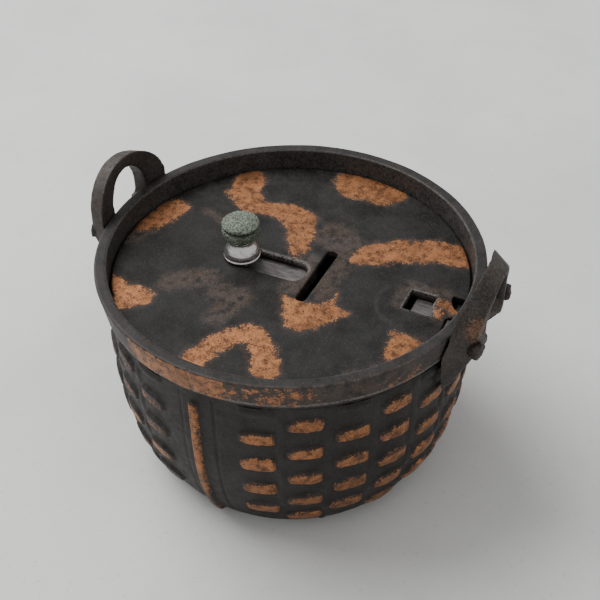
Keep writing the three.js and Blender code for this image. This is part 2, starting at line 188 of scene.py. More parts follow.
def grid_faces(rows, columns, last=None):
    """Quads of a turned grid.

    With last, vertex 0 and vertex last are on the axis and close its ends; without it, the last row
    of the grid joins the first.
    """
    index = np.arange(rows * columns).reshape(rows, columns) + (1 if last else 0)
    after = np.roll(index, -1, axis=1)
    quads = np.stack([index[:-1], after[:-1], after[1:], index[1:]], -1).reshape(-1, 4).tolist()
    if last:
        quads += [(0, b, a) for a, b in zip(index[0].tolist(), after[0].tolist())]
        quads += [(last, a, b) for a, b in zip(index[-1].tolist(), after[-1].tolist())]
    else:
        quads += np.stack([index[-1], after[-1], after[0], index[0]], -1).tolist()
    return quads


def turned(radius, height, turn):
    """Points in rows from grids of radius, height and turn in radians."""
    return np.stack([radius * np.cos(turn), radius * np.sin(turn), height], -1).reshape(-1, 3)


def lathe(name, path, columns, centre, rough, rough_size, seed):
    """Turns a profile about an upright axis and dents it by up to rough millimetres.

    A profile that starts on the axis also ends there; any other is a closed ring.
    """
    path = np.array(path, float)
    solid = path[0][0] < 1e-6
    body = path[1:-1] if solid else path
    normals = profile_normals(path)[1:-1] if solid else profile_normals(path)
    bearing = np.linspace(0, 2 * np.pi, columns, endpoint=False)
    radius = np.repeat(body[:, :1], columns, 1)
    height = np.repeat(body[:, 1:], columns, 1)
    points = turned(radius, height, bearing)
    dent = rough * (0.5 + 0.5 * np.clip(grain(points, rough_size, 4, seed), -1, 1))
    normal = np.repeat(normals, columns, 0)
    shrink = 1 - dent * normal[:, 0] / np.maximum(np.hypot(points[:, 0], points[:, 1]), 0.5)
    points[:, :2] *= shrink[:, None]
    points[:, 2] -= dent * normal[:, 1]
    if solid:
        points = np.vstack([[0, 0, path[0][1]], points, [0, 0, path[-1][1]]])
    faces = grid_faces(len(body), columns, len(points) - 1 if solid else None)
    points[:, 0] += centre[0]
    points[:, 1] += centre[1]
    return add_piece(name, points, faces)


# ---------------------------------------------------------------- materials


class Finish:
    """A material whose nodes are added by short calls; places are the object's own coordinates."""

    def __init__(self, name, **constants):
        self.material = bpy.data.materials.new(name)
        self.material.use_nodes = True
        self.tree = self.material.node_tree
        self.shader = self.tree.nodes["Principled BSDF"]
        self.place = self.tree.nodes.new("ShaderNodeTexCoord").outputs["Object"]
        for socket, value in constants.items():
            self.shader.inputs[socket.replace("_", " ")].default_value = value

    def node(self, kind, inputs, **settings):
        made = self.tree.nodes.new(kind)
        for key, value in settings.items():
            setattr(made, key, value)
        for key, value in inputs.items():
            if isinstance(value, bpy.types.NodeSocket):
                self.tree.links.new(value, made.inputs[key])
            else:
                made.inputs[key].default_value = value
        return made

    def noise(self, size, detail=3.0, roughness=0.55, seed=0.0, stretch=None):
        """Noise from 0 to 1 whose coarsest feature is about size millimetres."""
        place = self.place
        if stretch:
            place = self.node("ShaderNodeMapping", {"Vector": place, "Scale": stretch}).outputs[0]
        inputs = {"Vector": place, "W": seed, "Scale": 1 / (size * MM)}
        inputs |= {"Detail": detail, "Roughness": roughness}
        return self.node("ShaderNodeTexNoise", inputs, noise_dimensions="4D").outputs["Fac"]

    def dots(self, size, seed=0.0):
        """Distance to scattered points, 0 at each one, in cells of size millimetres."""
        inputs = {"Vector": self.place, "W": seed, "Scale": 1 / (size * MM), "Randomness": 1.0}
        return self.node("ShaderNodeTexVoronoi", inputs, voronoi_dimensions="4D").outputs["Distance"]

    def painted(self, name):
        return self.node("ShaderNodeAttribute", {}, attribute_name=name).outputs["Fac"]

    def maths(self, operation, *values):
        return self.node("ShaderNodeMath", dict(enumerate(values)), operation=operation).outputs[0]

    def band(self, value, low, high, start=0.0, end=1.0):
        """Runs smoothly from start to end as value goes from low to high."""
        inputs = {"Value": value, "From Min": low, "From Max": high, "To Min": start, "To Max": end}
        return self.node("ShaderNodeMapRange", inputs, interpolation_type="SMOOTHSTEP").outputs[0]

    def blend(self, factor, a, b):
        """A colour that runs from a to b."""
        ends = {6: a, 7: b}
        for key, end in ends.items():
            if not isinstance(end, bpy.types.NodeSocket):
                ends[key] = (*end, 1.0)
        return self.node("ShaderNodeMix", {0: factor, **ends}, data_type="RGBA").outputs[2]

    def level(self, factor, a, b):
        """A number that runs from a to b."""
        return self.node("ShaderNodeMix", {0: factor, 2: a, 3: b}, data_type="FLOAT").outputs[0]

    def near(self, point, reach):
        """1 at a point in millimetres, 0 beyond reach."""
        ends = {0: self.place, 1: tuple(c * MM for c in point)}
        distance = self.node("ShaderNodeVectorMath", ends, operation="DISTANCE").outputs["Value"]
        return self.band(distance, 0.0, reach * MM, 1.0, 0.0)

    def wire(self, **outputs):
        """Feeds the shader's sockets, named with _ for a space."""
        for socket, output in outputs.items():
            self.tree.links.new(output, self.shader.inputs[socket.replace("_", " ")])

    def bump(self, height, depth, strength=1.0, under=None):
        inputs = {"Height": height, "Distance": depth * MM, "Strength": strength}
        if under is not None:
            inputs["Normal"] = under
        return self.node("ShaderNodeBump", inputs).outputs[0]


DUST_COVER = 0.75  # how far dust greys the japan where it lies thickest
PIT_BLACK = (0.006, 0.006, 0.006)
BLACK = (0.0065, 0.0068, 0.0068)
SLATE = (0.018, 0.0185, 0.018)
UMBER = (0.05, 0.033, 0.024)
PLUM = (0.055, 0.038, 0.034)
DUST = (0.1, 0.092, 0.083)
RUBBED = (0.2, 0.18, 0.165)
COPPER_DARK = (0.085, 0.036, 0.017)
COPPER = (0.36, 0.155, 0.068)
COPPER_BRIGHT = (0.58, 0.28, 0.13)


def japanned(name, shine):
    """Black japan over copper, bare, stained and rubbed where the mesh's painted values say.

    copper is in millimetres inside the bare patches; patina and worn are 0 to 1.
    """
    f = Finish(name)
    copper, patina, worn = (f.painted(label) for label in ("copper", "patina", "worn"))
    broad = f.noise(9.0, 4.0, 0.6, 1.0)
    middle = f.noise(2.2, 4.0, 0.6, 2.0)
    fine = f.noise(0.55, 3.0, 0.65, 3.0)
    speck = f.noise(0.24, 2.0, 0.6, 4.0)
    stray = f.band(f.noise(6.0, 2.0, 0.5, 6.0), 0.38, 0.62)

    # Bare copper: crisp where stray is 0, broken into specks over a wide border where it is 1.
    centred = [f.maths("SUBTRACT", field, 0.5) for field in (middle, fine, speck)]
    ragged = copper
    for field, spread, least in zip(centred, (2.6, 3.6, 4.0), (1.0, 1.6, 1.0)):
        span = f.maths("MULTIPLY_ADD", stray, spread, least)
        ragged = f.maths("ADD", ragged, f.maths("MULTIPLY", field, span))
    bare = f.band(ragged, -0.05, 0.3)
    pits = f.maths("MAXIMUM", f.band(f.dots(0.9, 5.0), 0.18, 0.32), f.band(fine, 0.5, 0.62))
    blotch = f.maths("MAXIMUM", f.band(f.dots(4.6, 7.0), 0.15, 0.24), f.band(middle, 0.6, 0.5))
    blotch = f.maths("MULTIPLY_ADD", blotch, 0.7, 0.3)
    bare = f.maths("MULTIPLY", bare, f.maths("MULTIPLY", pits, blotch))

    tarnish = f.maths("ADD", middle, f.maths("MULTIPLY", centred[2], 0.8))
    metal = f.blend(f.band(tarnish, 0.3, 0.62), COPPER_DARK, COPPER)
    metal = f.blend(f.band(fine, 0.5, 0.8, 0.0, 0.6), metal, COPPER_BRIGHT)
    metal = f.blend(f.band(broad, 0.48, 0.7, 0.0, 0.45), metal, COPPER_DARK)

    ground = f.blend(f.band(broad, 0.35, 0.65), BLACK, SLATE)
    halo = f.band(f.maths("ADD", copper, f.maths("MULTIPLY", centred[0], 4.0)), -2.0, 0.6, 0.0, 0.9)
    stain = f.maths("MAXIMUM", halo, f.maths("MULTIPLY", patina, f.band(middle, 0.3, 0.58)))
    ground = f.blend(stain, ground, f.blend(f.band(broad, 0.4, 0.6), UMBER, PLUM))
    dusty = f.maths("MULTIPLY", f.band(speck, 0.5, 0.64), f.band(middle, 0.36, 0.6, 0.1, DUST_COVER))
    dusty = f.maths("MULTIPLY", dusty, f.band(patina, 0.0, 0.8, 0.35, 1.0))
    ground = f.blend(dusty, ground, DUST)
    ground = f.blend(f.band(f.dots(1.7, 8.0), 0.2, 0.1, 0.0, 0.7), ground, PIT_BLACK)
    ground = f.blend(f.maths("MULTIPLY", worn, f.band(fine, 0.34, 0.6)), ground, RUBBED)

    f.wire(Base_Color=f.blend(bare, ground, metal))
    f.wire(Metallic=f.level(bare, 0.0, 0.62))
    dull = f.level(f.band(middle, 0.3, 0.7), 0.44, 0.66)
    f.wire(Roughness=f.level(bare, dull, 0.46))
    f.shader.inputs["Specular IOR Level"].default_value = shine
    coat = f.bump(bare, 0.04, 0.6, f.bump(middle, 0.14, 0.6))
    f.wire(Normal=f.bump(speck, 0.05, 0.6, f.bump(fine, 0.1, 0.8, coat)))
    return f.material


def handle_iron(name, patches):
    """Worn black iron; patches are [x, y, z, reach] of coppery wear in millimetres."""
    f = Finish(name)
    copper = -4.0
    for *point, reach in patches:
        copper = f.maths("MAXIMUM", copper, f.maths("MULTIPLY_ADD", f.near(point, reach), 5.5, -4.0))
    middle = f.noise(1.8, 4.0, 0.6, 2.0)
    fine = f.noise(0.5, 3.0, 0.65, 3.0)
    broad = f.noise(7.0, 3.0, 0.6, 1.0)
    edge = f.tree.nodes.new("ShaderNodeNewGeometry").outputs["Pointiness"]
    ground = f.blend(f.band(broad, 0.35, 0.65), (0.02, 0.017, 0.015), (0.05, 0.043, 0.038))
    ground = f.blend(f.band(middle, 0.42, 0.6, 0.0, 0.7), ground, UMBER)
    ground = f.blend(f.band(fine, 0.48, 0.34, 0.0, 0.8), ground, BLACK)
    ground = f.blend(f.band(fine, 0.52, 0.68, 0.0, 0.45), ground, DUST)
    ground = f.blend(f.band(edge, 0.56, 0.62, 0.0, 0.4), ground, RUBBED)
    ragged = f.maths("ADD", copper, f.maths("MULTIPLY", f.maths("SUBTRACT", fine, 0.5), 6.0))
    bare = f.band(ragged, -0.6, 1.4, 0.0, 0.6)
    metal = f.blend(f.band(fine, 0.35, 0.65), COPPER_DARK, (0.3, 0.15, 0.085))
    f.wire(Base_Color=f.blend(bare, ground, metal))
    f.wire(Metallic=f.level(bare, 0.1, 0.6))
    f.wire(Roughness=f.level(f.band(middle, 0.3, 0.7), 0.5, 0.7))
    f.shader.inputs["Specular IOR Level"].default_value = 0.35
    f.wire(Normal=f.bump(fine, 0.08, 0.7, f.bump(middle, 0.15, 0.6)))
    return f.material


def nickel():
    f = Finish("worn_nickel", Metallic=1.0)
    scuff = f.noise(0.6, 4.0, 0.6, 1.0, (1.0, 1.0, 3.0))
    stain = f.noise(1.6, 4.0, 0.65, 2.0)
    bright = f.blend(f.band(stain, 0.45, 0.75), (0.7, 0.69, 0.66), (0.44, 0.42, 0.39))
    low = f.node("ShaderNodeSeparateXYZ", {0: f.place}).outputs["Z"]
    # Painted shade: a darker greenish band at the top of the skirt, just under the head's overhang.
    under_head_shade = f.band(low, (SKIRT_HIGH[2] - 0.7) * MM, (SKIRT_HIGH[2] - 0.1) * MM)
    under_head_shade = f.maths("MULTIPLY", under_head_shade, f.band(scuff, 0.35, 0.6))
    f.wire(Base_Color=f.blend(under_head_shade, bright, (0.13, 0.15, 0.11)))
    f.wire(Roughness=f.band(scuff, 0.3, 0.7, 0.2, 0.34))
    f.wire(Normal=f.bump(stain, 0.05, 0.5))
    return f.material


def verdigris():
    f = Finish("verdigris_brass")
    crust = f.noise(0.5, 4.0, 0.7, 1.0)
    grit = f.noise(0.2, 2.0, 0.6, 2.0)
    broad = f.noise(2.4, 3.0, 0.6, 3.0)
    green = f.blend(f.band(broad, 0.4, 0.62), (0.13, 0.165, 0.115), (0.19, 0.25, 0.2))
    colour = f.blend(f.band(crust, 0.42, 0.58), (0.045, 0.045, 0.032), green)
    colour = f.blend(f.band(grit, 0.56, 0.68, 0.0, 0.75), colour, (0.42, 0.42, 0.35))
    colour = f.blend(f.band(f.dots(0.75, 4.0), 0.22, 0.1, 0.0, 0.85), colour, (0.02, 0.022, 0.016))
    level = f.node("ShaderNodeSeparateXYZ", {0: f.place}).outputs["Z"]
    # Painted shade: near black along the groove between the head's two tiers.
    shaded_groove_gap = f.maths("ABSOLUTE", f.maths("SUBTRACT", level, (HEAD_LOW[2] + 3.68) * MM))
    colour = f.blend(f.band(shaded_groove_gap, 0.45 * MM, 0.1 * MM, 0.0, 0.9), colour, (0.012, 0.013, 0.01))
    f.wire(Base_Color=colour)
    f.wire(Metallic=f.band(crust, 0.5, 0.35, 0.0, 0.35))
    f.wire(Roughness=f.band(crust, 0.3, 0.7, 0.55, 0.9))
    f.wire(Normal=f.bump(grit, 0.1, 0.9, f.bump(crust, 0.2, 0.8)))
    return f.material


def bare_steel(name, light, dark, seed):
    """Old plain steel: greyish, softly scratched, with brown stains in patches."""
    f = Finish(name)
    brushed = f.noise(0.9, 4.0, 0.6, seed, (0.25, 2.2, 1.0))
    stain = f.noise(2.6, 4.0, 0.62, seed + 1)
    speck = f.noise(0.3, 2.0, 0.6, seed + 2)
    colour = f.blend(f.band(brushed, 0.3, 0.7), dark, light)
    colour = f.blend(f.band(stain, 0.52, 0.68, 0.0, 0.7), colour, (0.075, 0.05, 0.04))
    colour = f.blend(f.band(speck, 0.62, 0.72, 0.0, 0.5), colour, (0.03, 0.028, 0.028))
    f.wire(Base_Color=colour)
    f.wire(Metallic=f.band(stain, 0.5, 0.7, 0.8, 0.25))
    f.wire(Roughness=f.band(stain, 0.3, 0.7, 0.38, 0.62))
    f.wire(Normal=f.bump(brushed, 0.03, 0.6))
    return f.material


# ---------------------------------------------------------------- basket

MIRROR = -92.5  # bearing, in degrees, where the mould's halves meet
FIRST_COLUMN = 17.9
COLUMN_PITCH = 14.0
COLUMNS = 11
STRIP_HALF = 4.15
STRIP_HALF_HEIGHT = 2.1
STRIP_PROUD = 0.9
ROW_PITCH = 9.1
TOP_ROWS = (48.2, 43.7)  # highest strips of even and odd columns
ROWS = 5
RIB_BEARINGS = (-93.8, 86.2)
PANEL_GROOVES = ((-87.4, 0.3), (-98.4, 0.12), (92.4, 0.25))  # bearing and depth

POCKET_UNDER = 45.3
POCKET_TOP = 48.5
POCKET_REACH = 43.4
BOLT_POCKET_HALF = 5.4
CATCH_POCKET_HALF = 4.0
CATCH_Y = 0.2
STOP_REACH = 41.45
STOP_Y = (-9.6, -2.8)
PLAIN = -3.0  # the copper value of places that are nowhere near bare


def body_radius(height):
    fall = (COLLAR_FOOT - np.minimum(height, COLLAR_FOOT)) / COLLAR_FOOT
    return BASE_RADIUS + (WALL_RADIUS - BASE_RADIUS) * (1 - fall**BELLY_POWER)


def basket_path():
    wall_steps = np.linspace(0.75, COLLAR_FOOT - 2.2, 165)
    outer = [(float(body_radius(z)), float(z)) for z in wall_steps]
    inner_steps = np.linspace(44.6, FLOOR + 3, 12)
    inner = [(float(body_radius(z)) - WALL, float(z)) for z in inner_steps]
    fillet_centre = (WALL_RADIUS + 1.9, COLLAR_FOOT - 2.1)
    foot = BASE_RADIUS - FOOT_WIDTH
    return path_with(
        [(0, FOOT_RECESS)],
        line((8, FOOT_RECESS), (foot - 0.9, FOOT_RECESS), 5),
        corner_arc((foot + 0.1, 0.0), -0.8, -90, -10, 3),
        line((foot + 0.2, 0.0), (BASE_RADIUS - 0.5, 0.0), 1.5),
        corner_arc((BASE_RADIUS - 0.5, 0.8), 0.8, -90, -30, 4),
        outer,
        corner_arc(fillet_centre, -1.9, 5, -68, 6),
        corner_arc((COLLAR_FOOT_RADIUS - 0.25, COLLAR_FOOT + 0.25), 0.25, -80, 0, 3),
        line((COLLAR_FOOT_RADIUS + 0.05, COLLAR_FOOT + 0.5), (RIM_RADIUS, RIM_TOP - 0.8), 0.3),
        corner_arc((RIM_RADIUS - 0.7, RIM_TOP - 0.7), 0.7, 0, 90, 5),
        line((RIM_RADIUS - 1.0, RIM_TOP), (RECESS_RADIUS + 0.7, RIM_TOP), 0.3),
        corner_arc((RECESS_RADIUS + 0.6, RIM_TOP - 0.6), 0.6, 90, 180, 5),
        line((RECESS_RADIUS, RIM_TOP - 0.9), (RECESS_RADIUS, LID_TOP + 0.25), 0.5),
        line((RECESS_RADIUS, LID_TOP + 0.2), (RECESS_RADIUS, LID_TOP - 0.1), 0.1),
        line((RECESS_RADIUS, LID_TOP - 0.15), (RECESS_RADIUS, LEDGE_TOP), 0.4),
        line((RECESS_RADIUS, LEDGE_TOP), (LEDGE_RADIUS + 0.2, LEDGE_TOP), 0.5),
        [(LEDGE_RADIUS, LEDGE_TOP - 0.2), (LEDGE_RADIUS, 49.2), (LEDGE_RADIUS, POCKET_TOP + 0.05)],
        [(LEDGE_RADIUS, POCKET_TOP - 0.05), (LEDGE_RADIUS, 47)],
        [(LEDGE_RADIUS, POCKET_UNDER + 0.05), (LEDGE_RADIUS, POCKET_UNDER - 0.05)],
        inner,
        corner_arc((float(body_radius(FLOOR + 2)) - WALL - 2.4, FLOOR + 2), 2.0, 0, -80, 4),
        line((28.0, FLOOR), (8.0, FLOOR), 5),
        [(0, FLOOR)],
    )


def strip_wear(side, column, row):
    """How far a strip of the weave has been rubbed: 0.5 is the barest, and under -1 is black."""
    if TOP_ROWS[column % 2] - row * ROW_PITCH > 46:
        return -2.5
    chance = math.sin(12.9898 * column + 78.233 * row + 37.7 * side) * 43758.5453
    wear = -0.3 + 0.85 * (chance - math.floor(chance))
    if side < 0 and column < 6:
        wear -= 1.1 + 0.12 * column
    return wear


def weave(bearing, height, wobble):
    """Relief in millimetres and bareness of the woven wall over grids of bearings and heights."""
    radius = body_radius(height)
    relief = np.zeros_like(height)
    bare = np.full_like(height, PLAIN)
    for side in (1, -1):
        for column in range(COLUMNS):
            centre = MIRROR + side * (FIRST_COLUMN + column * COLUMN_PITCH)
            near = np.abs(turn_between(bearing[0], centre)) < COLUMN_PITCH / 2 + 2
            across = side * np.radians(turn_between(bearing[:, near], centre)) * radius[:, near]
            up = height[:, near]
            ripple = wobble[:, near]
            lift, shine = relief[:, near], bare[:, near]
            drop = 0.95 * smooth(-0.6, -STRIP_HALF, across)
            sag = 0.22 * (across / STRIP_HALF) ** 2
            crown = 1 - 0.3 * (across / STRIP_HALF) ** 2
            half_height = STRIP_HALF_HEIGHT - (drop + sag) / 2
            dim_end = smooth(-1.8, -4.2, across) * 0.5
            for row in range(ROWS):
                middle = TOP_ROWS[column % 2] - row * ROW_PITCH
                height_in_strip = up - middle + (drop - sag) / 2
                depth = rounded_box(across, height_in_strip, STRIP_HALF, half_height, 0.9)
                depth = depth + 0.22 * ripple
                lift = np.maximum(lift, STRIP_PROUD * crown * smooth(-0.25, 0.55, depth))
                upper = smooth(0.5, 1.9, up - middle + drop)
                rubbed = np.minimum(depth, 0.9) + strip_wear(side, column, row) - 0.6 * upper - dim_end
                shine = np.maximum(shine, np.where(depth > -0.1, rubbed + 0.1, PLAIN))
            stake_bearing = centre + side * COLUMN_PITCH / 2
            stake = np.abs(np.radians(turn_between(bearing[:, near], stake_bearing))) * radius[:, near]
            phase = np.cos(2 * np.pi * (up - TOP_ROWS[column % 2]) / ROW_PITCH)
            lift = np.maximum(lift, smooth(1.5, 0.3, stake) * (0.26 - 0.2 * phase))
            relief[:, near] = lift
            bare[:, near] = shine
    return relief, bare


def rib_relief(bearing, height):
    relief = np.zeros_like(height)
    bare = np.full_like(height, PLAIN)
    for centre in RIB_BEARINGS:
        across = np.radians(turn_between(bearing, centre)) * body_radius(height)
        depth = rounded_box(across, height - 23.2, 1.35, 22.4, 0.8)
        relief = np.maximum(relief, 1.15 * smooth(-0.15, 0.75, depth))
        rubbed = 0.55 * smooth(12, 18, height) * smooth(46.5, 43.5, height)
        rubbed = rubbed + np.minimum(depth, 0.7) - 0.75
        bare = np.maximum(bare, np.where(depth > 0, rubbed, PLAIN))
    return relief, bare


def panel_grooves(bearing, height, radius):
    shaded_groove_gap = np.zeros_like(height)
    fade = smooth(3, 6, height) * smooth(49, 47.5, height)
    for centre, depth in PANEL_GROOVES:
        across = np.radians(turn_between(bearing, centre)) * radius
        shaded_groove_gap += depth * smooth(0.55, 0.1, np.abs(across)) * fade
    return shaded_groove_gap


def basket():
    path = basket_path()
    body = path[1:-1]
    rows = len(body)

    def across_columns(values):
        return np.repeat(values[:, None], AROUND, 1)

    out, up = (across_columns(part) for part in profile_normals(path)[1:-1].T)
    radius, height = (across_columns(part) for part in body.T)
    bearing = np.repeat(np.linspace(-180, 180, AROUND, endpoint=False)[None], rows, 0)
    turn = np.radians(bearing)
    points = turned(radius, height, turn)
    broad = grain(points, 14.0, 2, 5.0).reshape(rows, AROUND)
    middle = grain(points, 2.6, 3, 9.0).reshape(rows, AROUND)

    outer = out > 0.3
    wall = outer & (height < COLLAR_FOOT - 1.9) & (height > 0.7)
    collar = outer & (height > COLLAR_FOOT)
    rim = (up > 0.5) & (height > RIM_TOP - 1)
    corner = (up > 0.3) & (up < 0.95) & (height > RIM_TOP - 1)

    woven = smooth(0.7, 2.2, height) * smooth(COLLAR_FOOT - 1.4, COLLAR_FOOT - 3.6, height)
    relief, bare = weave(bearing, height, middle)
    ribs, rib_bare = rib_relief(bearing, height)
    shaded_groove_gap = panel_grooves(bearing, height, radius)
    lift = np.where(wall, np.maximum(relief, ribs) * woven - shaded_groove_gap + 0.05 * middle, 0.0)
    seam = np.abs(np.radians(turn_between(bearing, MIRROR)) * radius)
    lift = lift - np.where(collar, 0.16 * smooth(0.4, 0.08, seam), 0.0)
    worn_down = 0.1 * (1 + np.clip(broad, -1, 1)) + 0.03 * (1 + middle)
    lift = lift - np.where(collar | rim, worn_down, 0.0)
    lift = lift - np.where((up < -0.9) & (height < 1), 0.03 * (1 + middle), 0.0)
    radius = cut_pockets(bearing, radius + lift * out, body)
    height = np.maximum(height + lift * up, 0.0)

    copper = np.where(wall, np.maximum(bare, rib_bare), PLAIN)
    copper = np.where(collar, collar_copper(bearing, height, middle), copper)
    copper = np.where(rim, -1.6 + 0.5 * middle, copper)
    brown = 0.55 + 0.45 * smooth(50, 20, np.abs(turn_between(bearing, -58)))
    patina = np.where(collar, brown, 0.2)
    worn = np.where(corner, 0.1, np.where(wall, 0.03 * middle, 0.0))
    worn = np.where(collar & (height < COLLAR_FOOT + 0.9), 0.6, worn)
    worn = np.where((out < -0.5) & (height > LEDGE_TOP + 0.5), 0.22, worn)

    def with_ends(values):
        flat = np.ravel(values)
        return np.concatenate([flat[:1], flat, flat[-1:]])

    points = np.vstack([[0, 0, path[0][1]], turned(radius, height, turn), [0, 0, path[-1][1]]])
    return add_piece(
        "woven_basket",
        points,
        grid_faces(rows, AROUND, len(points) - 1),
        copper=with_ends(copper),
        patina=with_ends(patina),
        worn=with_ends(worn),
    )


COLLAR_SCRAPS = (  # bearing, half its spread in degrees, height above the collar's foot, strength
    (-97, 21, 3.6, 1.3), (-68, 14, 3.2, 0.55), (-33, 9, 1.8, 0.2), (38, 14, 4, 0.7), (72, 8, 3, 0.2),
    (128, 16, 3.5, 0.9), (-150, 12, 3.4, 0.3), (-172, 6, 4, 0.0),
)


def collar_copper(bearing, height, ripple):
    """Bareness of the collar: a long bright stretch over the mould seam, scraps elsewhere."""
    field = np.full_like(height, -2.2)
    for centre, half_turn, middle, strength in COLLAR_SCRAPS:
        aside = np.abs(turn_between(bearing, centre)) / half_turn
        level = np.abs(height - COLLAR_FOOT - middle) / 4.2
        field = np.maximum(field, strength - 2.4 * np.maximum(aside, 0.6) ** 3 - 0.7 * level**2)
    return field + 0.8 * ripple


def cut_pockets(bearing, radius, body):
    """Opens the bolt's and the catch's pockets under the ledge and leaves the turn stop standing."""
    turn = np.radians(bearing)
    across = radius * np.sin(turn)
    ahead = np.cos(turn)
    outline, level = (np.repeat(part[:, None], bearing.shape[1], 1) for part in body.T)
    deep = (outline <= LEDGE_RADIUS + 0.01) & (level > POCKET_UNDER) & (level < POCKET_TOP)
    bolt_pocket = deep & (ahead < 0) & (np.abs(across - LOCK_Y) < BOLT_POCKET_HALF)
    catch_pocket = deep & (ahead > 0) & (np.abs(across - CATCH_Y) < CATCH_POCKET_HALF)
    far_wall = POCKET_REACH / np.maximum(np.abs(ahead), 0.2)
    radius = np.where(bolt_pocket | catch_pocket, far_wall, radius)
    beside_lid = (level <= LID_TOP) & (level > LEDGE_TOP - 0.1)
    well = (np.abs(outline - RECESS_RADIUS) < 0.01) & beside_lid
    stop = well & (ahead > 0) & (across > STOP_Y[0]) & (across < STOP_Y[1])
    return np.where(stop, STOP_REACH / np.maximum(ahead, 0.2), radius)


# ---------------------------------------------------------------- lid

COIN_SLOT = {"x": 7.1, "y": -0.2, "length": 20.6, "width": 2.7, "corner": 1.15, "flare": 0.008}
KNOB_SLOT = {"left": -16.2, "right": 4.3, "half_width": 3.8, "corner": 3.0}
WINDOW = {"left": 30.2, "right": 36.8, "slant": 1.3, "front": -3.1, "back": 4.1, "bulge": 0.8}
PAD = {"x": 31.8, "y": -0.9, "radius_x": 8.4, "radius_y": 8.5, "height": 0.3}
LOOP_STEP = 0.45  # spacing of the mesh's points along the outline
HOLE_STEP = 0.35
GRID_STEP = 0.62


def along(points, step=LOOP_STEP):
    """Resamples an open polyline evenly, leaving out its last point."""
    points = np.array(points, float)
    lengths = np.hypot(*np.diff(points, axis=0).T)
    travelled = np.concatenate([[0], np.cumsum(lengths)])
    count = max(2, round(travelled[-1] / step))
    at = np.linspace(0, travelled[-1], count, endpoint=False)
    return np.stack([np.interp(at, travelled, points[:, i]) for i in (0, 1)], 1)


def bend(start, control, end, steps=10):
    """A quadratic curve."""
    t = np.linspace(0, 1, steps + 1)[:, None]
    start, control, end = (np.array(p, float) for p in (start, control, end))
    return (1 - t) ** 2 * start + 2 * t * (1 - t) * control + t**2 * end


def circle_part(radius, start, end, centre=(0.0, 0.0)):
    steps = max(4, round(abs(end - start) * radius / 0.3))
    turns = np.linspace(start, end, steps + 1)
    return np.stack([centre[0] + radius * np.cos(turns), centre[1] + radius * np.sin(turns)], 1)


def lid_outline():
    """Anticlockwise, with the tongue, its notch and the cut-out for the turn stop at +X."""
    start = math.asin(6.2 / LID_RADIUS)
    end = 2 * math.pi + math.asin(-10.3 / LID_RADIUS)
    return np.vstack([
        along(circle_part(LID_RADIUS, start, end)),
        along([(LID_RADIUS * math.cos(end), -10.3), (40.9, -10.3)]),
        along(bend((40.9, -10.3), (41.4, -6), (40.8, -3))),
        along(bend((40.8, -3), (41, -1.4), (43.2, -0.9))),
        along([(43.2, -0.9), (43.4, 1.1)]),
        along(bend((43.4, 1.1), (41.6, 1.7), (40.9, 2.8))),
        along(bend((40.9, 2.8), (39.7, 4.6), (40, 6.2))),
        along([(40, 6.2), (LID_RADIUS * math.cos(start), 6.2)]),
    ])


def round_rectangle(left, right, front, back, corner):
    """Clockwise, as a hole is drawn."""
    quarter = math.pi / 2
    corners = [(right - corner, back - corner), (right - corner, front + corner),
               (left + corner, front + corner), (left + corner, back - corner)]
    turns = [(quarter - i * quarter, -i * quarter) for i in range(4)]
    ring = np.vstack([circle_part(corner, *turn, centre) for turn, centre in zip(turns, corners)])
    return along(np.vstack([ring, ring[:1]]), HOLE_STEP)


def coin_slot_loop():
    half, long_half = COIN_SLOT["width"] / 2, COIN_SLOT["length"] / 2
    loop = round_rectangle(-half, half, -long_half, long_half, COIN_SLOT["corner"])
    loop[:, 0] *= 1 + COIN_SLOT["flare"] * loop[:, 1]
    return loop + (COIN_SLOT["x"], COIN_SLOT["y"])


def knob_slot_loop():
    left, right, half, corner = KNOB_SLOT.values()
    return round_rectangle(left, right, LOCK_Y - half, LOCK_Y + half, corner)


def window_loop():
    left, right, slant = WINDOW["left"], WINDOW["right"], WINDOW["slant"]
    front, back = WINDOW["front"], WINDOW["back"]
    middle = (right + slant / 2 - 2 * WINDOW["bulge"], (front + back) / 2)
    return np.vstack([
        along([(left, front), (left, back)], HOLE_STEP),
        along([(left, back), (right, back)], HOLE_STEP),
        along(bend((right, back), middle, (right + slant, front)), HOLE_STEP),
        along([(right + slant, front), (left, front)], HOLE_STEP),
    ])


def inward(loop):
    """Unit steps from a loop's points into the metal, which lies on its left."""
    ahead = np.roll(loop, -1, 0) - np.roll(loop, 1, 0)
    ahead /= np.hypot(*ahead.T)[:, None]
    return np.stack([-ahead[:, 1], ahead[:, 0]], 1)


def lid_height(x, y):
    """The lid's uneven upper face, with the shallow pad round the catch window."""
    points = np.stack([x, y, np.zeros_like(x)], 1)
    out = np.hypot((x - PAD["x"]) / PAD["radius_x"], (y - PAD["y"]) / PAD["radius_y"])
    out = out + 0.05 * grain(points, 5.0, 2, 3.0)
    raised = PAD["height"] * smooth(1.05, 0.93, out)
    ridge = 0.04 * np.exp(-(((out - 0.97) / 0.05) ** 2))
    uneven = 0.07 * grain(points, 9.0, 3, 1.0) + 0.025 * grain(points, 1.8, 3, 2.0)
    return LID_TOP - 0.08 + raised + ridge + uneven


